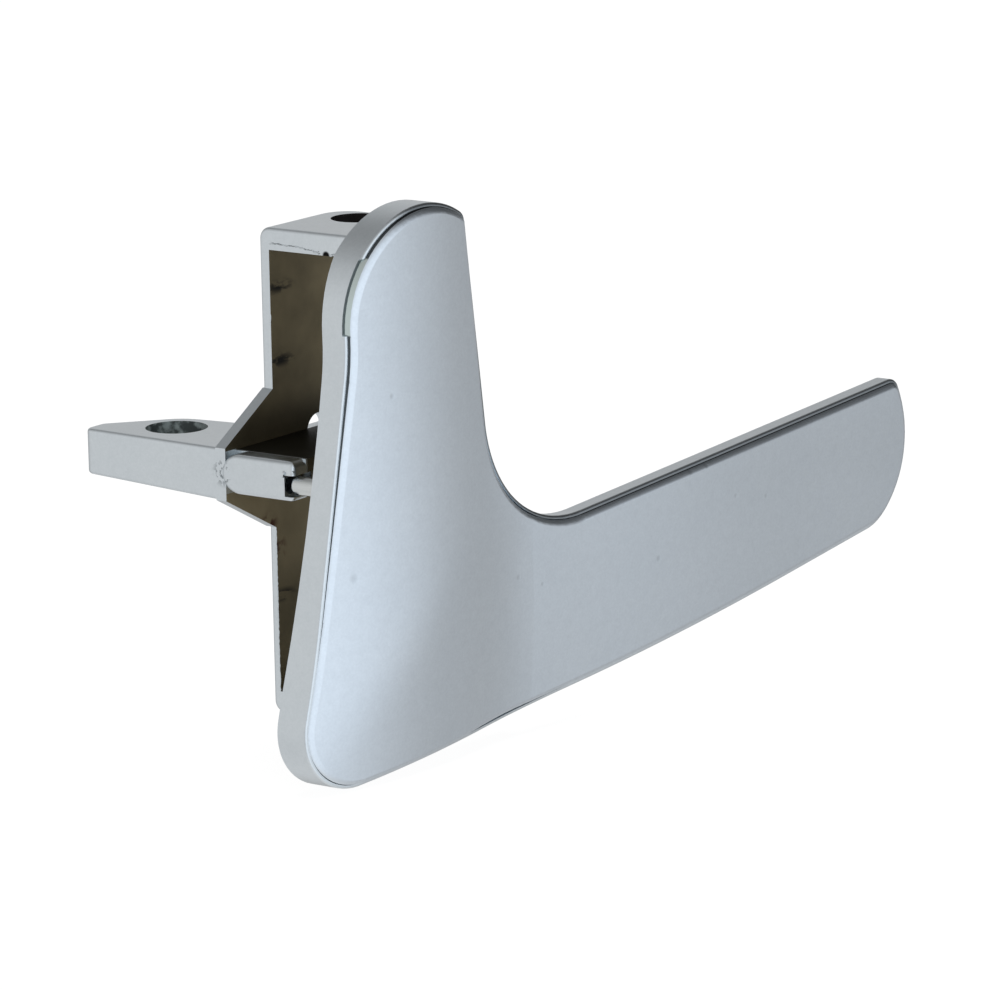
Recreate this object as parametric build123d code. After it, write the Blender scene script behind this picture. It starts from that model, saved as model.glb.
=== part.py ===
"""Interior door handle of a car, with its pivot bracket and release lever.

One bright-plated die casting carries everything: a shallow boomerang-shaped tray that
faces the cabin, a C-shaped pivot bracket behind its upright lobe, a stiffening ledge and
the release lever that pulls the latch rod. A satin-plated cover is set into the tray, and
a short cross pin is pressed through the tray's floor.

Millimetres. X runs along the finger arm, Y runs from the cabin into the door, Z is up.
The origin is on the pivot axis, at the underside of the lower bearing flange.
"""

import os
from math import acos, asin, cos, degrees, radians, sin, tan

from build123d import *

# Pivot bracket
bracket_height = 67.0
bracket_left = -12.2
bracket_right = 5.6
bracket_corner_radius = 5.0
bracket_edge_radius = 1.6
bracket_near_radius = 0.6
bracket_taper_y = -4.0
bracket_front_right = 0.5
flange_thickness = 3.0
pivot_bore_diameter = 7.4
web_front_y = 5.9
web_thickness = 1.7
lower_web_thickness = 1.25
gusset_top_rise = 6.3
gusset_bottom_drop = 5.6

# Release lever behind the bracket
lever_top_z = 38.7
lever_left = -22.9
lever_root_right = -7.0
lever_root_height = 7.2
lever_tip_height = 6.3
lever_bore_diameter = 8.5
lever_bore_x = -15.0
lever_bore_y = 20.4
lever_eye_wall = 1.95
lever_tip_y = 31.0
lever_tip_left = -21.9
lever_tip_right = -17.2
lever_tip_radius = 1.2
lever_edge_radius = 0.5

# Ledge in the bracket's mouth, with the pad and the slot at its open end
ledge_top_z = 38.2
ledge_height = 5.1
ledge_front_y = -6.0
pad_rear_y = 6.2
pad_proud = 0.7
pad_depth = 3.2
pad_height = 5.4
pad_corner_radius = 0.8
pad_edge_radius = 0.7
ledge_inset = 2.1
slot_depth = 3.2
slot_width = 1.5
slot_clearance = 0.15

# Round window through the web, cut off flat by the top of the ledge
window_radius = 2.5
window_x = -2.3
window_z = 37.5

# Cross pin
pin_diameter = 2.6
pin_x = -22.2
pin_z = 34.9
pin_end_y = -5.3
pin_end_radius = 0.5

# Outline of the cover, seen from the cabin
dome_radius = 14.6
dome_top_z = 70.8
dome_overhang = 0.9
waist_radius = 30.0
left_edge_lean = 9.3
left_edge_x = -22.6
left_edge_z = 47.5
right_edge_lean = 7.8
elbow_x = 7.2
elbow_z = 21.1
elbow_radius = 19.0
arm_top_rise = 6.4
arm_tip_x = 95.8
bottom_rise = 6.0
bottom_z = -3.05
bottom_end_rise = 11.0
bottom_knee_x = 40.6
bottom_knee_radius = 640.0
crown_corner_radius = 1.2
heel_corner_radius = 8.7
tip_radius = 15.5
tip_middle_z = 23.2
tip_top_radius = 1.5
tip_bottom_radius = 7.0

# Plan form of the seam round the cover
seam_crest_x = 4.0
seam_crest_y = -16.83
lobe_radius = 140.0
bend_start_x = 5.0
bend_radius = 150.0
arm_angle = 7.0

# The front turns under towards its lower edge
crown_start_z = 18.0
crown_radius = 200.0

# Plan form of the cover's face
face_crest_x = -2.9
face_proud = 0.75
face_lobe_radius = 82.0
face_fall_angle = 4.1
face_valley_radius = 60.0
cover_edge_radius = 0.8

# Tray and the seat of the cover
lip_thickness = 0.13
seat_gap = 0.12
seat_depth = 1.2
tray_depth = 4.6
arm_depth = 2.4
shoulder_x = 12.0
shoulder_slant = 30.0
rim_radius = 0.35
back_scoop_y = -10.6
back_scoop_z = 52.0
back_scoop_radius = 350.0
notch_top_z = 65.6
notch_bottom_z = 55.8
notch_depth = 0.45
notch_corner_radius = 0.8
notch_reach_x = -14.0

# Room past the object that cutting solids and construction lines reach into
beyond = 20.0


def left_line_x(z):
    """The cover's leaning left edge at a height."""
    return left_edge_x + (z - left_edge_z) * tan(radians(left_edge_lean))


def dome_centre():
    """Centre of the dome, which touches the top and stands out a little past the left edge."""
    z = dome_top_z - dome_radius
    return Vector(left_line_x(z) + (dome_radius - dome_overhang) / cos(radians(left_edge_lean)), z)


def dome_arc():
    """The dome, from where it crosses the left edge to its corner at the right edge."""
    centre = dome_centre()
    lean = radians(right_edge_lean)
    reach = (elbow_x - centre.X) * cos(lean) + (elbow_z - centre.Y) * sin(lean)
    start = 180.0 - left_edge_lean + degrees(acos(1 - dome_overhang / dome_radius))
    end = right_edge_lean + degrees(acos(reach / dome_radius))
    return CenterArc(centre, dome_radius, start, end - start)


def tip_arc():
    """The bulging end of the arm, from its top corner round to below the lower edge."""
    centre = Vector(arm_tip_x - tip_radius, tip_middle_z)
    rise = radians(arm_top_rise)
    headroom = (elbow_z + (centre.X - elbow_x) * tan(rise) - centre.Y) * cos(rise)
    start = 90 + arm_top_rise - degrees(acos(headroom / tip_radius))
    return CenterArc(centre, tip_radius, start, -start - 60)


def bottom_line():
    """The lower edge: a straight run, a knee and a steeper run towards the tip."""
    left_x = left_line_x(bottom_z) - beyond
    right_x = arm_tip_x + beyond
    left = (left_x, bottom_z + left_x * tan(radians(bottom_rise)))
    knee = (bottom_knee_x, bottom_z + bottom_knee_x * tan(radians(bottom_rise)))
    right = (right_x, knee[1] + (right_x - bottom_knee_x) * tan(radians(bottom_end_rise)))
    return left, knee, right


def near(sketch, x, z):
    """The vertex of a sketch that lies closest to a point."""
    return sketch.vertices().sort_by_distance((x, z))[0]


def cover_outline():
    """The boomerang, drawn on X and Z."""
    dome, tip = dome_arc(), tip_arc()
    floor_z = bottom_z - left_edge_z
    upper = Polyline(dome @ 1, (elbow_x, elbow_z), tip @ 0)
    lower = Polyline(tip @ 1, ((tip @ 1).X, floor_z), (left_line_x(floor_z), floor_z), dome @ 0)
    block = make_face([dome, upper, tip, lower])
    left, knee, right = bottom_line()
    cap_z = dome_top_z + beyond
    above = Polyline(left, knee, right, (right[0], cap_z), (left[0], cap_z), close=True)
    outline = block & make_face(above)
    heel_z = bottom_z + left_line_x(bottom_z) * tan(radians(bottom_rise))
    rounded = [
        (left_line_x(heel_z), heel_z, heel_corner_radius),
        (*knee, bottom_knee_radius),
        (arm_tip_x, heel_z, tip_bottom_radius),
        ((tip @ 0).X, (tip @ 0).Y, tip_top_radius),
        (elbow_x, elbow_z, elbow_radius),
        ((dome @ 0).X, (dome @ 0).Y, waist_radius),
        ((dome @ 1).X, (dome @ 1).Y, crown_corner_radius),
    ]
    for x, z, radius in rounded:
        outline = fillet(near(outline, x, z), radius)
    return outline


def grown(outline, amount):
    """The outline with its edge moved outwards."""
    return offset(outline, amount, kind=Kind.ARC)


def front_prism(outline):
    """The outline carried right through the front of the handle, along Y."""
    depth = 2 * beyond + abs(seam_crest_y) + arm_tip_x * tan(radians(arm_angle))
    return extrude(Plane.XZ.offset(-beyond) * outline, amount=depth)


def plan_region(lobe, *onwards):
    """Everything behind a plan line: upright above, and turning under at the bottom."""
    left, right = lobe @ 1, onwards[-1] @ 1
    rear = lever_tip_y + beyond
    around = Polyline(right, (right.X, rear), (left.X, rear), left)
    plan = Pos(0, 0, crown_start_z) * make_face([lobe, *onwards, around])
    axis = Axis((0, seam_crest_y + crown_radius, crown_start_z), (1, 0, 0))
    turn = degrees(asin((crown_start_z - bottom_z + beyond) / crown_radius))
    return extrude(plan, amount=dome_top_z + beyond) + revolve(plan, axis, turn)


def arm_line(start, angle):
    """The straight run of a plan line along the arm, to past its tip."""
    reach = arm_tip_x + beyond - start.X
    return Line(start, start + Vector(reach, -reach * tan(radians(angle))))


def lobe_arc(crest, radius):
    """The part of a plan line left of its crest, to past the left of the handle."""
    sweep_angle = degrees((crest[0] - left_line_x(bottom_z) + beyond) / radius)
    return JernArc(crest, (-1, 0), radius, -sweep_angle)


def seam_region(shift):
    """Everything behind the seam's plan line, moved back by a distance."""
    y = seam_crest_y + shift
    lobe = lobe_arc((seam_crest_x, y), lobe_radius)
    crest = Line((seam_crest_x, y), (bend_start_x, y))
    bend = JernArc((bend_start_x, y), (1, 0), bend_radius, -arm_angle)
    return plan_region(lobe, crest, bend, arm_line(bend @ 1, arm_angle))


def face_region():
    """Everything behind the cover's face: a convex lobe, a valley and the arm."""
    crest = (face_crest_x, seam_crest_y - face_proud)
    lobe = lobe_arc(crest, face_lobe_radius)
    fall = JernArc(crest, (1, 0), face_lobe_radius, face_fall_angle)
    valley = JernArc(fall @ 1, fall % 1, face_valley_radius, -face_fall_angle - arm_angle)
    return plan_region(lobe, fall, valley, arm_line(valley @ 1, arm_angle))


def notch():
    """Thumbnail recess in the rim, which bares the side of the cover."""
    height = notch_top_z - notch_bottom_z
    window = Rectangle(beyond, height, align=(Align.MAX, Align.MIN))
    window = fillet(window.vertices(), notch_corner_radius)
    recess = front_prism(Pos(notch_reach_x, notch_bottom_z) * window)
    return recess - front_prism(grown(cover_outline(), seat_gap)) - seam_region(notch_depth)


def front_edges(body):
    """The edges that bound the front of a body, where its faces look into the cabin."""
    front = body.faces().filter_by(lambda face: face.normal_at().Y < -0.7)
    edges = front.edges()
    return edges.filter_by(lambda edge: sum(edge.is_same(other) for other in edges) == 1)


def behind_arm():
    """The room behind the arm, which is thinner than the lobe from a slanted shoulder on."""
    reach = arm_tip_x + 2 * beyond
    side = Box(reach, 2 * reach, 2 * reach, align=(Align.MIN, Align.CENTER, Align.CENTER))
    return seam_region(arm_depth) & Pos(shoulder_x, seam_crest_y) * Rot(0, 0, -shoulder_slant) * side


def tray():
    """The shallow tray with its rounded rim, hollowed at the back of the lobe."""
    rim = grown(cover_outline(), seat_gap + lip_thickness + rim_radius)
    body = (front_prism(rim) & seam_region(0)) - seam_region(tray_depth) - behind_arm()
    body = fillet(front_edges(body), rim_radius)
    seat = front_prism(grown(cover_outline(), seat_gap)) - seam_region(seat_depth)
    scoop = Cylinder(back_scoop_radius, 2 * (arm_tip_x + beyond), rotation=(0, 90, 0))
    return body - seat - Pos(0, back_scoop_y + back_scoop_radius, back_scoop_z) * scoop


def lever_floor():
    """Height of the lever's underside where it leaves the web."""
    return lever_top_z - lever_root_height


def bracket_block(bottom, top, rear_y):
    """Solid stretch of the pivot bracket, tapering at the right into the tray."""
    plan = Polyline(
        (bracket_left, seam_crest_y),
        (bracket_left, rear_y),
        (bracket_right, rear_y),
        (bracket_right, bracket_taper_y),
        (bracket_front_right, seam_crest_y),
        close=True,
    )
    plan = fillet(near(make_face(plan), bracket_right, rear_y), bracket_corner_radius)
    return Pos(0, 0, bottom) * extrude(plan, amount=top - bottom)


def rounded_end(block, z):
    """A bracket block with its outer end rounded along the rear and the right."""
    end = block.edges().filter_by_position(Axis.Z, z, z)
    rear = end.filter_by(lambda edge: edge.center().Y > bracket_taper_y)
    block = fillet(rear.filter_by(lambda edge: edge.center().X > bracket_left), bracket_edge_radius)
    end = block.edges().filter_by_position(Axis.Z, z, z)
    return fillet(end.sort_by(Axis.X)[:1], bracket_near_radius)


def bracket():
    """Two bearing flanges joined by a web, with gussets that carry the lever."""
    web_rear = web_front_y + web_thickness
    lower_rear = web_front_y + lower_web_thickness
    upper = bracket_block(lever_floor(), bracket_height, web_rear)
    lower = bracket_block(0, lever_floor(), lower_rear)
    upper = rounded_end(upper, bracket_height)
    lower = rounded_end(lower, 0)
    mouth_height = bracket_height - 2 * flange_thickness
    mouth = Box(
        2 * beyond + bracket_right - bracket_left,
        web_front_y - seam_crest_y + beyond,
        mouth_height,
        align=(Align.CENTER, Align.MAX, Align.MIN),
    )
    gussets = Polyline(
        (bracket_left + web_thickness, lever_top_z + gusset_top_rise),
        (bracket_left, lever_top_z + gusset_top_rise),
        (lever_left, lever_top_z),
        (lever_left, lever_floor()),
        (bracket_left, lever_floor() - gusset_bottom_drop),
        (bracket_left + web_thickness, lever_floor() - gusset_bottom_drop),
        close=True,
    )
    gussets = extrude(Plane.XZ.offset(-web_rear) * make_face(gussets), amount=web_thickness)
    return upper + lower - Pos(0, web_front_y, flange_thickness) * mouth + gussets


def ledge():
    """Stiffening ledge across the bracket, with a half-round pad at its open end."""
    depth = web_front_y - ledge_front_y
    bar = Box(
        bracket_right - lever_left - ledge_inset,
        depth,
        ledge_height,
        align=(Align.MIN, Align.MIN, Align.MAX),
    )
    bar = Pos(lever_left + ledge_inset, ledge_front_y, ledge_top_z) * bar
    radius = pad_height / 2
    middle = ledge_top_z - radius
    straight = pad_rear_y - radius - ledge_front_y
    profile = Pos(ledge_front_y + straight / 2, middle) * Rectangle(straight, pad_height)
    profile = fillet(profile.vertices().sort_by(Axis.X)[:2], pad_corner_radius)
    profile += Pos(pad_rear_y - radius, middle) * Circle(radius)
    pad = extrude(Plane.YZ * profile, amount=pad_depth)
    pad = fillet(pad.faces().sort_by(Axis.X)[0].edges(), pad_edge_radius)
    return bar + Pos(lever_left - pad_proud, 0, 0) * pad


def ledge_slot():
    """Slot in the front of the ledge that clears the free end of the cross pin."""
    slot = Box(
        pad_proud + slot_depth,
        slot_width + beyond,
        pin_diameter + 2 * slot_clearance,
        align=(Align.MIN, Align.MAX, Align.CENTER),
    )
    return Pos(lever_left - pad_proud, ledge_front_y + slot_width, pin_z) * slot


def web_window():
    """Window through the web, which looks out over the top of the ledge."""
    above = Rectangle(2 * window_radius, 2 * window_radius, align=(Align.CENTER, Align.MIN))
    opening = Pos(window_x, window_z) * Circle(window_radius) & Pos(window_x, ledge_top_z) * above
    rear = Plane.XZ.offset(-web_front_y - web_thickness)
    return extrude(rear * opening, amount=web_thickness)


def lever():
    """Release lever: flat, narrowing towards its tip, with an eye for the latch rod."""
    eye_radius = lever_bore_diameter / 2 + lever_eye_wall
    root_y = web_front_y + web_thickness / 2
    tip_y = lever_tip_y - lever_tip_radius
    root = Line((lever_left, root_y), (lever_root_right, root_y))
    eye = Pos(lever_bore_x, lever_bore_y) * Circle(eye_radius)
    tips = [
        Pos(lever_tip_left + lever_tip_radius, tip_y) * Circle(lever_tip_radius),
        Pos(lever_tip_right - lever_tip_radius, tip_y) * Circle(lever_tip_radius),
    ]
    edges = [root, *eye.edges(), *tips[0].edges(), *tips[1].edges()]
    plan = make_hull(ShapeList(edges))
    profile = Polyline(
        (root_y, lever_top_z),
        (root_y, lever_floor()),
        (lever_tip_y, lever_top_z - lever_tip_height),
        (lever_tip_y, lever_top_z),
        close=True,
    )
    side = extrude(Plane.YZ * make_face(profile), amount=2 * beyond, both=True)
    blank = Pos(0, 0, lever_floor() - beyond) * extrude(plan, amount=lever_root_height + 2 * beyond)
    blank = blank & side
    rims = blank.edges().filter_by(lambda edge: edge.center().Y > root_y + lever_edge_radius)
    rims = rims.filter_by(lambda edge: abs(edge.tangent_at(0.5).Z) < 0.5)
    blank = fillet(rims, lever_edge_radius)
    bore = Cylinder(lever_bore_diameter / 2, 2 * bracket_height)
    return blank - Pos(lever_bore_x, lever_bore_y, lever_top_z) * bore


def cross_pin():
    """Plain pin, pressed through the floor of the tray, with a rounded free end."""
    length = pin_end_y - seam_crest_y
    pin = Cylinder(pin_diameter / 2, length, align=(Align.CENTER, Align.CENTER, Align.MIN))
    pin = fillet(pin.edges().sort_by(Axis.Z)[:1], pin_end_radius)
    return (Plane.XZ.offset(-pin_end_y) * Pos(pin_x, pin_z) * pin) & seam_region(seat_depth)


def lever_casting():
    """The one-piece casting: tray, bracket, ledge and lever."""
    back = (bracket() + ledge() + lever()) & seam_region(seat_depth)
    casting = tray() + back
    pivot = Pos(0, 0, bracket_height / 2) * Cylinder(pivot_bore_diameter / 2, 2 * bracket_height)
    pin_bore = Cylinder(pin_diameter / 2, beyond + abs(seam_crest_y), rotation=(90, 0, 0))
    casting -= pivot
    casting -= web_window()
    casting -= Pos(pin_x, seam_crest_y, pin_z) * pin_bore
    return casting - ledge_slot() - notch()


def face_cover():
    """The cover plate: flat-backed on the tray's floor, crowned towards the cabin."""
    plate = (front_prism(cover_outline()) & face_region()) - seam_region(seat_depth)
    return fillet(front_edges(plate), cover_edge_radius)


if __name__ == "__main__":
    os.makedirs("parts", exist_ok=True)
    export_step(lever_casting(), "parts/lever_casting.step")
    export_step(face_cover(), "parts/face_cover.step")
    export_step(cross_pin(), "parts/cross_pin.step")
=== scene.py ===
# %% [markdown]
# Car interior door handle, dressed in Blender.
#
# The real handle has three pieces: a die casting that is nickel and chrome plated all over,
# a satin cover set into its tray, and a short cross pin. The solids already have the shapes,
# so this lesson is mostly about metal: how plating takes its look from the studio round it,
# and how a few cast-in blemishes make it believable.

# %% Load the solids and keep their box
from math import cos, radians, sin

import bmesh
import bpy
from mathutils import Matrix, Vector


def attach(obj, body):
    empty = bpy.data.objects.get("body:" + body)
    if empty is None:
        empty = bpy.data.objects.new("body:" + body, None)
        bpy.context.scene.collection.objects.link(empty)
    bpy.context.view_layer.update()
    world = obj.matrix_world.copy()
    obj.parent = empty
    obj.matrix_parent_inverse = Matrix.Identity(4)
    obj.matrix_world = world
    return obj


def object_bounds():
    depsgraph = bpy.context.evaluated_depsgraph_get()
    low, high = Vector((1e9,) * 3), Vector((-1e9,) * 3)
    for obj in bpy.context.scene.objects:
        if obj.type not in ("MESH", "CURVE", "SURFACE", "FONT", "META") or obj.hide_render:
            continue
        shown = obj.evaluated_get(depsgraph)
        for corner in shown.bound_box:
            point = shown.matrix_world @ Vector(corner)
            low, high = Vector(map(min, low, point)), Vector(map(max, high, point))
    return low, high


mm = 0.001
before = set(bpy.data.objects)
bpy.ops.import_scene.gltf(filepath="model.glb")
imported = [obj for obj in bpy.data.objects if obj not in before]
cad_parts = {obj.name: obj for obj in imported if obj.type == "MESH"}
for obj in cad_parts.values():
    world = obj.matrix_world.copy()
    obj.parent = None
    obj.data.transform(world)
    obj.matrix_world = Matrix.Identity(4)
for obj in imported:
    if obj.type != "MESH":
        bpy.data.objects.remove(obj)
cad_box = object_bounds()
print("solids:", sorted(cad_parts))
print("their box in mm:", [round(v / mm, 1) for corner in cad_box for v in corner])

# %% [markdown]
# Shader maths reads best as sums. A Wire holds one socket, and Python's operators add the
# Math nodes behind it, so a mask is written as a formula. A Bench holds one node tree and
# has the single method that makes every other kind of node.

# %% Write shader formulas as Python sums
class Wire:
    """One socket of a node tree, on which Python's sums add Math nodes."""

    def __init__(self, bench, socket):
        self.bench, self.socket = bench, socket

    def maths(self, operation, *values):
        return self.bench.node("ShaderNodeMath", {"operation": operation}, *values)

    def __add__(self, other):
        return self.maths("ADD", self, other)

    def __radd__(self, other):
        return self.maths("ADD", other, self)

    def __sub__(self, other):
        return self.maths("SUBTRACT", self, other)

    def __rsub__(self, other):
        return self.maths("SUBTRACT", other, self)

    def __mul__(self, other):
        return self.maths("MULTIPLY", self, other)

    def __rmul__(self, other):
        return self.maths("MULTIPLY", other, self)


class Bench:
    """One node tree, with the calls that build on it."""

    def __init__(self, tree):
        self.tree = tree
        tree.nodes.clear()

    def node(self, kind, settings=(), *by_place, out=0, **by_name):
        """Adds a node: its settings first, then a value or a link for each socket."""
        made = self.tree.nodes.new(kind)
        for name, value in dict(settings).items():
            setattr(made, name, value)
        sockets = dict(enumerate(by_place))
        sockets.update((name.replace("_", " "), value) for name, value in by_name.items())
        for key, value in sockets.items():
            if isinstance(value, Wire):
                self.tree.links.new(value.socket, made.inputs[key])
            elif value is not None:
                made.inputs[key].default_value = value
        return Wire(self, made.outputs[out]) if len(made.outputs) else made

    def step(self, value, low, high):
        """0 below low, 1 above high, and a soft rise between them."""
        settings = {"interpolation_type": "SMOOTHSTEP"}
        return self.node("ShaderNodeMapRange", settings, value, low, high, 0.0, 1.0)

    def between(self, value, low, high, soft=0.15):
        """1 between two places in millimetres, with soft ends."""
        rise = self.step(value, (low - soft) * mm, (low + soft) * mm)
        return rise - self.step(value, (high - soft) * mm, (high + soft) * mm)

    def mix(self, factor, a, b):
        """A colour between two colours."""
        made = self.tree.nodes.new("ShaderNodeMix")
        made.data_type = "RGBA"
        for place, value in ((0, factor), (6, a), (7, b)):
            if isinstance(value, Wire):
                self.tree.links.new(value.socket, made.inputs[place])
            else:
                made.inputs[place].default_value = value
        return Wire(self, made.outputs[2])

    def axes(self, vector):
        """The three numbers of a vector."""
        made = self.tree.nodes.new("ShaderNodeSeparateXYZ")
        self.tree.links.new(vector.socket, made.inputs[0])
        return [Wire(self, made.outputs[place]) for place in range(3)]

    def near(self, place, centre, radius, soft):
        """1 within a radius of a point and 0 further off."""
        settings = {"operation": "DISTANCE"}
        gap = self.node("ShaderNodeVectorMath", settings, place, centre, out=1)
        return 1 - self.step(gap, radius - soft, radius + soft)

    def noise(self, place, scale, detail=3.0, rough=0.5):
        """Cloudy noise from 0 to 1, with its scale in cycles per metre."""
        return self.node("ShaderNodeTexNoise", {}, place, None, scale, detail, rough)


def colour(red, green, blue):
    """A linear colour from the 0 to 255 numbers of a colour picker."""
    def linear(value):
        value = value / 255
        return value / 12.92 if value <= 0.04045 else ((value + 0.055) / 1.055) ** 2.4
    return (linear(red), linear(green), linear(blue), 1.0)


print("one wire class and one bench for every node tree")

# %% [markdown]
# Both plated finishes share a few masks: a fine speckle, the strip of the thumb notch at the
# upper left of the rim, and the side of the handle above its lower edge. Each is a function
# that adds its nodes to whichever bench it is given.

# %% Write the masks that both finishes share
notch_right_end = (-14.0, -13.0)
lower_edge_slope = 0.15


def fine_speckle(bench, place):
    """Grain of a fraction of a millimetre, on top of slower clouds."""
    return bench.noise(place, 2600.0, 2.0) + (bench.noise(place, 800.0, 2.0) - 0.5) * 0.6


def in_notch(bench, x, z, low, high):
    """1 in the thumb notch, between two heights in millimetres."""
    start, end = notch_right_end
    return bench.between(z, low, high) * (1 - bench.step(x, start * mm, end * mm))


def above_lower_edge(bench, x, z):
    """1 on the upper side of the handle and 0 along its rising lower edge."""
    return bench.step(z - x * lower_edge_slope, 4 * mm, 9 * mm)


print("the notch ends at x =", notch_right_end, "mm")

# %% [markdown]
# Satin chrome isn't a mirror: its microscopic peaks blur the studio into soft gradients. So
# the cover is fully metallic with a middling roughness, a slightly blue tint and a fine
# speckle. The real face has a soft fold towards the heel and turns a little along the arm.
# Such slight turns are made by leaning the normal, which shifts the reflections and not the
# shape. The cover's side, which shows only in the seam, is dark, because little light gets in.

# %% The satin plating of the cover
# X, Z and radius of each ding in millimetres
face_dings = [
    (-22.8, 23.4, 0.5),
    (-15.5, 46.9, 0.3),
    (11.4, 17.0, 0.3),
    (16.4, 15.1, 0.25),
    (30.8, 24.0, 0.3),
    (40.5, 14.3, 0.35),
    (57.1, 20.4, 0.25),
    (63.7, 19.2, 0.25),
    (47.7, 25.6, 0.4),
    (51.1, 25.8, 0.3),
]


def heel_turn(bench, flat):
    """Eases the face round to the right below the soft fold that runs down to the heel."""
    x, _, z = bench.axes(flat)
    past_fold = (x + 28.5 * mm) * 0.61 - z * 0.79
    below = bench.step(past_fold, -5 * mm, 6 * mm) * (1 - bench.step(z, 22 * mm, 34 * mm))
    on_the_left = 1 - bench.step(x, -12 * mm, 2 * mm)
    low = 1 - bench.step(z, 25 * mm, 55 * mm)
    return below * (on_the_left * 0.045 + 0.034) - on_the_left * low * 0.018


def right_turn(bench, flat):
    """Eases the face round to the right along the arm and up the dome's right side."""
    x, _, z = bench.axes(flat)
    arm = bench.step(x, 30 * mm, 70 * mm) * 0.06 + bench.step(x, 80 * mm, 96 * mm) * 0.012
    return arm + bench.step(x, -8 * mm, 2 * mm) * bench.step(z, 35 * mm, 60 * mm) * 0.035


def satin_plating():
    """Satin chrome with faint clouds, fine speckle and a few dings."""
    finish = bpy.data.materials.new("satin_plating")
    finish.use_nodes = True
    bench = Bench(finish.node_tree)
    place = bench.node("ShaderNodeTexCoord", out=3)
    x, _, z = bench.axes(place)
    flat = bench.node("ShaderNodeCombineXYZ", {}, x, 0.0, z)
    dings = 0.0
    for left, up, radius in face_dings:
        dings = bench.near(flat, (left * mm, 0.0, up * mm), radius * mm, 0.8 * radius * mm) + dings
    tint = bench.mix(bench.noise(place, 60.0), colour(216, 225, 233), colour(224, 232, 239))
    tint = bench.mix(fine_speckle(bench, place) * 0.5, tint, colour(193, 201, 209))
    tint = bench.mix(dings * 0.2, tint, colour(120, 128, 134))
    facing = bench.node("ShaderNodeTexCoord", out=1)
    frontward = bench.axes(facing)[1] * -1
    sideways = 1 - bench.step(frontward, 0.02, 0.14)
    # Painted shade on the cover's side in the seam, paler along the lower edge, and painted light on that
    # side where the notch opens the seam
    gap = bench.mix(above_lower_edge(bench, x, z), colour(176, 184, 188), colour(78, 84, 87))
    gap = bench.mix(in_notch(bench, x, z, 55.8, 65.6), gap, colour(196, 206, 202))
    tint = bench.mix(sideways, tint, gap)
    height = bench.noise(place, 9000.0, 2.0) * 0.012 + dings * -0.03
    at_edge = 1 - bench.step(frontward, 0.6, 0.98)
    turn = heel_turn(bench, flat) + right_turn(bench, flat)
    lean = bench.node("ShaderNodeCombineXYZ", {}, turn, at_edge * -0.7, 0.0)
    leaning = bench.node("ShaderNodeVectorMath", {"operation": "ADD"}, facing, lean)
    leaning = bench.node("ShaderNodeVectorMath", {"operation": "NORMALIZE"}, leaning)
    bump = bench.node("ShaderNodeBump", {}, 0.6, mm, 0.1, height, Normal=leaning)
    rough = bench.noise(place, 400.0) * 0.06 + 0.27
    shader = bench.node(
        "ShaderNodeBsdfPrincipled", {}, Base_Color=tint, Metallic=1.0, Roughness=rough, Normal=bump
    )
    bench.node("ShaderNodeOutputMaterial", {}, Surface=shader)
    return finish


satin = satin_plating()
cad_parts["face_cover"].data.materials.clear()
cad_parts["face_cover"].data.materials.append(satin)
print("the cover wears", satin.name)

# %% [markdown]
# The casting is plated too, but plating current hardly reaches into a deep pocket. Outer
# faces come out bright, while the inside of the bracket stays dull and brown with the odd
# rusty streak. One mask says where the pocket is: behind the tray, in front of the web's
# face, and not on a face that looks out to the left. The rim's narrow front lies in the
# cover's shade, so it is a little darker along the top.

# %% The bright plating of the casting
# Radii, and the eye's X and Y, in millimetres
bore_radius = 3.72
eye_radius = 4.27
eye_x, eye_y = -15.0, 20.4
# X and Z in millimetres of the marks that the ejector pins left on the web
pin_marks = [(-10.2, 58.7), (-10.4, 48.63), (-11.2, 16.35)]


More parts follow.
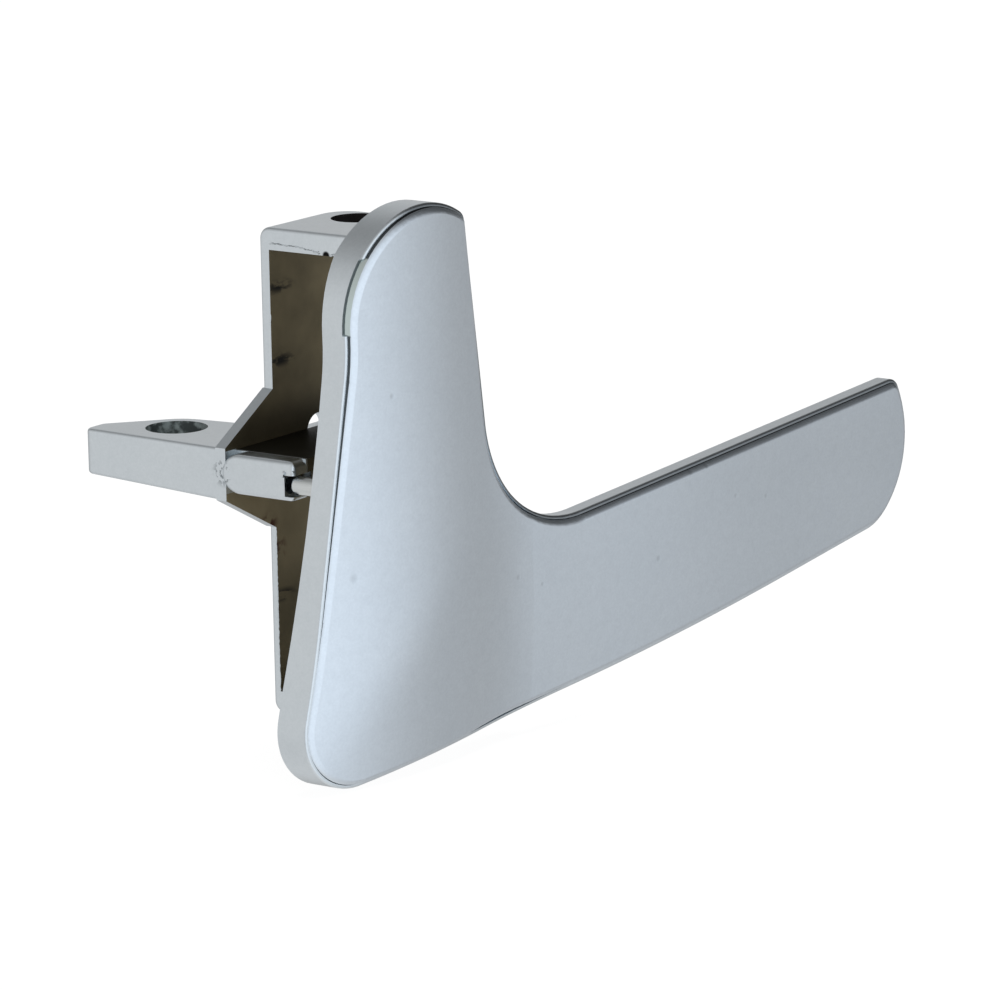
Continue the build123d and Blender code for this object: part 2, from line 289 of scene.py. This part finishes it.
def bright_plating():
    """Bright plating that goes dull and brown inside the bracket."""
    finish = bpy.data.materials.new("bright_plating")
    finish.use_nodes = True
    bench = Bench(finish.node_tree)
    place = bench.node("ShaderNodeTexCoord", out=3)
    x, y, z = bench.axes(place)
    facing = bench.axes(bench.node("ShaderNodeTexCoord", out=1))
    pocket = bench.between(x, -25.0, 6.4) * bench.between(y, -12.4, 5.93, 0.03)
    pocket = pocket * bench.between(z, 2.75, 64.25)
    pad = bench.between(x, -24.5, -20.5) * bench.between(z, 32.5, 38.3, 0.05)
    outward = bench.step(facing[0] * -1, 0.35, 0.6)
    dull = pocket * (1 - outward) * (1 - pad)
    from_above = bench.node("ShaderNodeCombineXYZ", {}, x, y, 0.0)
    bores = bench.near(from_above, (0.0, 0.0, 0.0), bore_radius * mm, 0.02 * mm)
    bores = bores * bench.step(z, 62 * mm, 63 * mm)
    eye = bench.near(from_above, (eye_x * mm, eye_y * mm, 0.0), eye_radius * mm, 0.02 * mm)

    clouds = bench.noise(place, 160.0, 4.0)
    brown = bench.mix(clouds, colour(82, 76, 58), colour(138, 127, 100))
    under_ledge = bench.between(z, 20.0, 33.0, 4.0)
    brown = bench.mix(under_ledge, brown, bench.mix(clouds, colour(122, 112, 88), colour(172, 160, 132)))
    # Painted shade: the pocket is darker round the ledge
    shade_by_ledge = bench.between(z, 37.0, 43.0, 2.5)
    brown = bench.mix(shade_by_ledge * 0.6, brown, colour(38, 36, 29))
    # Painted shade: the ledge's upward-facing top, which lies in shade, is near black
    shaded_ledge_top = bench.step(facing[2], 0.5, 0.8) * bench.between(z, 38.0, 38.4, 0.1)
    brown = bench.mix(shaded_ledge_top * 0.95, brown, colour(10, 10, 8))
    smudges = 0.0
    squeeze = 0.3
    front_on = bench.node("ShaderNodeCombineXYZ", {}, x * squeeze, 0.0, z)
    for left, up in pin_marks:
        mark = bench.near(front_on, (left * squeeze * mm, 0.0, up * mm), 0.75 * mm, 0.55 * mm)
        smudges = mark + smudges
    smeared = bench.node("ShaderNodeVectorMath", {"operation": "MULTIPLY"}, place, (0.4, 1.0, 1.0))
    smeared = bench.step(bench.noise(smeared, 1100.0), 0.42, 0.56)
    brown = bench.mix(smudges * smeared, brown, colour(24, 23, 19))
    streak = bench.near(place, (-13.8 * mm, 5.9 * mm, 26.4 * mm), 1.6 * mm, 0.9 * mm)
    streak = streak + bench.near(place, (-12.1 * mm, 5.9 * mm, 23.0 * mm), 1.6 * mm, 0.9 * mm)
    rust = streak * bench.step(bench.noise(place, 500.0), 0.42, 0.56)
    brown = bench.mix(rust, brown, colour(84, 48, 36))

    bright = bench.mix(bench.noise(place, 90.0), colour(215, 222, 227), colour(223, 229, 233))
    # Painted shade: broken dark patches where the pad's end meets the web
    pad_joint_shade = bench.near(place, (-23.6 * mm, 6.2 * mm, 35.4 * mm), 1.7 * mm, 0.8 * mm)
    pad_joint_shade = pad_joint_shade * bench.step(bench.noise(place, 1500.0, 4.0), 0.53, 0.58)
    bright = bench.mix(pad_joint_shade * 0.8, bright, colour(52, 62, 70))
    bright = bench.mix(fine_speckle(bench, place) * 0.5, bright, colour(195, 203, 207))
    rim_front = bench.step(facing[1] * -1, 0.55, 0.85) * bench.step(y * -1, 9 * mm, 9.5 * mm)
    # Painted shade on the rim's narrow front: dark in the notch, a little darker along the top
    notch_rim_shade = rim_front * in_notch(bench, x, z, 55.9, 65.5)
    bright = bench.mix(notch_rim_shade * 0.8, bright, colour(66, 72, 70))
    top_rim_shade = rim_front * bench.step(x, -14 * mm, -9 * mm) * above_lower_edge(bench, x, z)
    bright = bench.mix(top_rim_shade * 0.8, bright, colour(112, 118, 122))
    patches = bench.step(bench.noise(place, 700.0, 4.0), 0.4, 0.62)
    mottled = bench.mix(patches, colour(84, 90, 90), colour(168, 178, 178))
    bright = bench.mix(eye, bright, mottled)
    # Painted shade: the inside of the bores is near black
    bright = bench.mix(bores, bright, colour(40, 38, 38))
    off_line = z - y * 0.075 - 64.62 * mm + (bench.noise(place, 900.0) - 0.5) * 0.8 * mm
    parting = bench.between(off_line, -0.04, 0.04, 0.03) * bench.between(y, -2.6, 5.6, 0.1)
    broken = bench.step(bench.noise(place, 1700.0), 0.42, 0.5)
    parting = parting * broken * bench.between(x, -12.4, -12.1, 0.05)
    pit = bench.near(place, (-12.2 * mm, -3.7 * mm, 64.05 * mm), 0.55 * mm, 0.15 * mm)
    bright = bench.mix(parting * 0.75 + pit, bright, colour(24, 24, 24))
    tint = bench.mix(dull, bright, brown)
    worn = dull + eye * 0.7 + bores * 0.7
    rough = worn * 0.2 + 0.3
    grain = bench.noise(place, 5200.0, 3.0) * 0.02 + bench.noise(place, 420.0) * 0.05
    bump = bench.node("ShaderNodeBump", {}, 0.6, mm, 0.1, grain)
    shader = bench.node(
        "ShaderNodeBsdfPrincipled",
        {},
        Base_Color=tint,
        Metallic=1 - worn * 0.55,
        Roughness=rough,
        Normal=bump,
        Specular_IOR_Level=0.15,
    )
    bench.node("ShaderNodeOutputMaterial", {}, Surface=shader)
    return finish


plating = bright_plating()
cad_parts["lever_casting"].data.materials.clear()
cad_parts["lever_casting"].data.materials.append(plating)
print("the casting wears", plating.name)

# %% [markdown]
# The pin is drawn steel, plated on its own before it is pressed in. Drawing leaves faint
# lines along it, which a noise that is stretched along the pin imitates.

# %% The plating of the cross pin
def pin_plating():
    """Plated drawn steel with faint lines along the pin."""
    finish = bpy.data.materials.new("pin_plating")
    finish.use_nodes = True
    bench = Bench(finish.node_tree)
    place = bench.node("ShaderNodeTexCoord", out=3)
    stretched = bench.node("ShaderNodeVectorMath", {"operation": "MULTIPLY"}, place, (1.0, 0.05, 1.0))
    lines = bench.noise(stretched, 4000.0, 2.0)
    tint = bench.mix(lines, colour(204, 208, 208), colour(218, 221, 221))
    bump = bench.node("ShaderNodeBump", {}, 0.5, mm, 0.1, lines * 0.02)
    shader = bench.node(
        "ShaderNodeBsdfPrincipled", {}, Base_Color=tint, Metallic=1.0, Roughness=0.26, Normal=bump
    )
    bench.node("ShaderNodeOutputMaterial", {}, Surface=shader)
    return finish


pin_finish = pin_plating()
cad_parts["cross_pin"].data.materials.clear()
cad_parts["cross_pin"].data.materials.append(pin_finish)
print("the pin wears", pin_finish.name)

# %% [markdown]
# Die casting squeezes a little metal into the joint of the die, and it freezes there as a
# ragged bead. One Geometry Nodes group makes such a bead along any line: the line becomes a
# curve, the curve is cut into short steps, each step wanders a little, and a circle of
# uneven size is swept along it.

# %% Make ragged flash with Geometry Nodes
def ragged_bead():
    """A node group that sweeps an uneven bead along a line of edges."""
    tree = bpy.data.node_groups.new("ragged bead", "GeometryNodeTree")
    bench = Bench(tree)
    wanted = {
        "Line": "NodeSocketGeometry",
        "Thickness": "NodeSocketFloat",
        "Wander": "NodeSocketFloat",
        "Step": "NodeSocketFloat",
        "Seed": "NodeSocketInt",
        "Finish": "NodeSocketMaterial",
    }
    for name, kind in wanted.items():
        tree.interface.new_socket(name, in_out="INPUT", socket_type=kind)
    tree.interface.new_socket("Bead", in_out="OUTPUT", socket_type="NodeSocketGeometry")
    given = tree.nodes.new("NodeGroupInput")
    line, thickness, wander, step, seed, finish = [Wire(bench, given.outputs[name]) for name in wanted]
    curve = bench.node("GeometryNodeMeshToCurve", {}, Mesh=line)
    curve = bench.node("GeometryNodeResampleCurve", {"mode": "LENGTH"}, Curve=curve, Length=step)
    position = bench.node("GeometryNodeInputPosition")
    settings = {"noise_dimensions": "4D"}
    noise = bench.node("ShaderNodeTexNoise", settings, position, seed, 2500.0, 2.0, out=1)
    centred = bench.node("ShaderNodeVectorMath", {"operation": "SUBTRACT"}, noise, (0.5, 0.5, 0.5))
    offset = bench.node("ShaderNodeVectorMath", {"operation": "SCALE"}, centred, Scale=wander)
    curve = bench.node("GeometryNodeSetPosition", {}, Geometry=curve, Offset=offset)
    # Sockets 2 and 3 are the least and the most, socket 8 is the seed, the rest stay as they are
    rest = [None] * 4
    uneven = bench.node("FunctionNodeRandomValue", {}, None, None, 0.35, 1.0, *rest, seed, out=1)
    circle = bench.node("GeometryNodeCurvePrimitiveCircle", {}, Resolution=8, Radius=thickness)
    bead = bench.node(
        "GeometryNodeCurveToMesh", {}, Curve=curve, Profile_Curve=circle, Scale=uneven, Fill_Caps=True
    )
    bead = bench.node("GeometryNodeRealizeInstances", {}, bead)
    bead = bench.node("GeometryNodeSetMaterial", {}, Geometry=bead, Material=finish)
    bench.node("NodeGroupOutput", {}, bead)
    return tree


def flash(name, points, thickness, wander, seed, group, finish):
    """A bead of flash along points given in millimetres, as a plain mesh on the casting."""
    mesh = bpy.data.meshes.new(name)
    count = len(points)
    mesh.from_pydata([Vector(point) * mm for point in points], [(i, i + 1) for i in range(count - 1)], [])
    piece = bpy.data.objects.new(name, mesh)
    bpy.context.collection.objects.link(piece)
    modifier = piece.modifiers.new("bead", "NODES")
    modifier.node_group = group
    values = {
        "Thickness": thickness * mm,
        "Wander": wander * mm,
        "Step": 0.22 * mm,
        "Seed": seed,
        "Finish": finish,
    }
    for item in group.interface.items_tree:
        if item.name in values:
            modifier[item.identifier] = values[item.name]
    graph = bpy.context.evaluated_depsgraph_get()
    made = bpy.data.meshes.new_from_object(piece.evaluated_get(graph))
    piece.modifiers.clear()
    shape = bmesh.new()
    shape.from_mesh(made)
    bmesh.ops.recalc_face_normals(shape, faces=shape.faces)
    shape.to_mesh(made)
    shape.free()
    made.shade_smooth()
    piece.data = made
    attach(piece, "root")
    print(name, len(made.polygons), "faces")
    return piece


bead_group = ragged_bead()
# X, Y and Z in millimetres of each line of flash, its thickness, its wander and its seed
flash_lines = [
    ("flange_flash", [(-12.2, 5.7, 64.9), (-12.2, 0.7, 64.8), (-12.2, -2.6, 64.2)], 0.11, 0.5, 3),
    ("flange_burr", [(-12.2, -4.4, 64.1), (-12.25, -5.6, 64.3), (-12.2, -6.4, 64.6)], 0.22, 0.5, 5),
    ("web_flash", [(-12.2, 5.9, 25.6), (-12.2, 5.9, 14.0), (-12.2, 5.9, 3.2)], 0.14, 0.3, 8),
    ("web_burr", [(-12.2, 5.9, 55.2), (-12.2, 5.9, 53.9)], 0.2, 0.4, 2),
    ("pad_burr", [(-23.4, -4.3, 36.5), (-23.45, -4.6, 36.4)], 0.75, 0.05, 6),
    ("slot_burr", [(-23.3, -5.6, 36.8), (-23.3, -5.8, 36.6)], 0.45, 0.05, 7),
]
for name, points, thickness, wander, seed in flash_lines:
    flash(name, points, thickness, wander, seed, bead_group, plating)

# %% [markdown]
# The studio. Plated metal shows nothing but its surroundings, so the surroundings are what
# is designed here: an even grey world with soft patches in it. A bright one stands in front
# of the handle, weaker ones lie to its left and below it, and two dark ones hang to its
# right and above it. The floor is a light table, which leaves hardly any shadow.

# %% Light the studio
# Azimuth, height, and the inner and outer angle of each patch in degrees
front_patch = (-101, -5, 28, 65)
# Each patch with its brightness
world_patches = [
    (front_patch, 0.55),
    ((-100, -5, 15, 40), 0.16),
    ((150, 5, 25, 70), 0.27),
    ((38, 18, 8, 40), 0.12),
    ((0, -90, 20, 60), 0.35),
    ((-15, 38, 25, 50), -0.42),
    ((100, 52, 10, 52), -0.19),
]
even_grey = 0.5


def studio_world():
    """Soft surroundings whose brightness changes slowly with direction."""
    world = bpy.data.worlds.new("studio")
    bpy.context.scene.world = world
    world.use_nodes = True
    bench = Bench(world.node_tree)
    ray = bench.node("ShaderNodeTexCoord", out=0)

    def glow(azimuth, height, inner, outer):
        """1 towards a direction, falling softly to 0 at the outer angle."""
        side = cos(radians(height))
        towards = (side * cos(radians(azimuth)), side * sin(radians(azimuth)), sin(radians(height)))
        along = bench.node("ShaderNodeVectorMath", {"operation": "DOT_PRODUCT"}, ray, towards, out=1)
        return bench.step(along, cos(radians(outer)), cos(radians(inner)))

    light = even_grey
    for patch, brightness in world_patches:
        light = glow(*patch) * brightness + light
    cast = bench.mix(glow(*front_patch), (1.0, 1.0, 1.0, 1.0), (0.92, 0.97, 1.03, 1.0))
    background = bench.node("ShaderNodeBackground", {}, cast, light)
    bench.node("ShaderNodeOutputWorld", {}, Surface=background)


def softbox(name, place, aim, width, height, watts):
    """A rectangular area light that looks at a point."""
    lamp = bpy.data.lights.new(name, "AREA")
    lamp.shape, lamp.size, lamp.size_y, lamp.energy = "RECTANGLE", width, height, watts
    box = bpy.data.objects.new(name, lamp)
    bpy.context.collection.objects.link(box)
    box.location = place
    box.rotation_euler = (Vector(aim) - Vector(place)).to_track_quat("-Z", "Y").to_euler()
    box.visible_glossy = False


studio_world()
softbox("overhead", (0.0, 0.0, 2.0), (0.0, 0.0, 0.0), 1.5, 1.5, 30.0)
bpy.context.scene.view_settings.view_transform = "Standard"

# %% Lay the floor
def pale_floor(height, half):
    """A pale light table: it glows, so it takes only a trace of shadow, and metal doesn't mirror it."""
    mesh = bpy.data.meshes.new("floor")
    corners = [(-half, -half, height), (half, -half, height), (half, half, height), (-half, half, height)]
    mesh.from_pydata(corners, [], [(0, 1, 2, 3)])
    floor = bpy.data.objects.new("floor", mesh)
    bpy.context.collection.objects.link(floor)
    finish = bpy.data.materials.new("pale_paper")
    finish.use_nodes = True
    bench = Bench(finish.node_tree)
    paper = bench.node("ShaderNodeBsdfDiffuse", {}, (0.1, 0.1, 0.1, 1.0))
    lit_from_below = bench.node("ShaderNodeEmission", {}, (1.0, 1.0, 1.0, 1.0), 0.94)
    shader = bench.node("ShaderNodeAddShader", {}, paper, lit_from_below)
    bench.node("ShaderNodeOutputMaterial", {}, Surface=shader)
    mesh.materials.append(finish)
    floor.visible_glossy = False
    return floor


floor = pale_floor(cad_box[0][2] - 0.2 * mm, 6.0)
print("the floor lies at", round(floor.data.vertices[0].co.z / mm, 2), "mm")

# %% [markdown]
# The camera stands where the photographer's did: in front of the handle and to its left, a
# little above it, with a long lens and the frame turned by one degree.

# %% Set the camera
def camera_at(place, azimuth, height, roll, lens):
    """A camera whose azimuth, height and roll are in degrees."""
    across = radians(azimuth)
    up = radians(height)
    right = Vector((cos(across), sin(across), 0))
    above = Vector((-sin(across) * sin(up), cos(across) * sin(up), cos(up)))
    back = Vector((sin(across) * cos(up), -cos(across) * cos(up), sin(up)))
    turn = radians(roll)
    right, above = cos(turn) * right + sin(turn) * above, cos(turn) * above - sin(turn) * right
    data = bpy.data.cameras.new("camera")
    data.lens, data.sensor_width = lens, 36.0
    data.clip_start, data.clip_end = 0.01, 50.0
    view = bpy.data.objects.new("camera", data)
    bpy.context.collection.objects.link(view)
    view.matrix_world = Matrix.Translation(place) @ Matrix((right, above, back)).transposed().to_4x4()
    bpy.context.scene.camera = view
    return view


photo_width = 990
focal_pixels = 6000
lens = focal_pixels / photo_width * 36.0
place = Vector((-638.0, -480.3, 203.9)) * mm
camera_azimuth, camera_height, camera_roll = -54.3, 12.4, -1.1
camera = camera_at(place, camera_azimuth, camera_height, camera_roll, lens)
print("the camera is", round(camera.location.length / mm), "mm from the pivot, lens", round(lens))
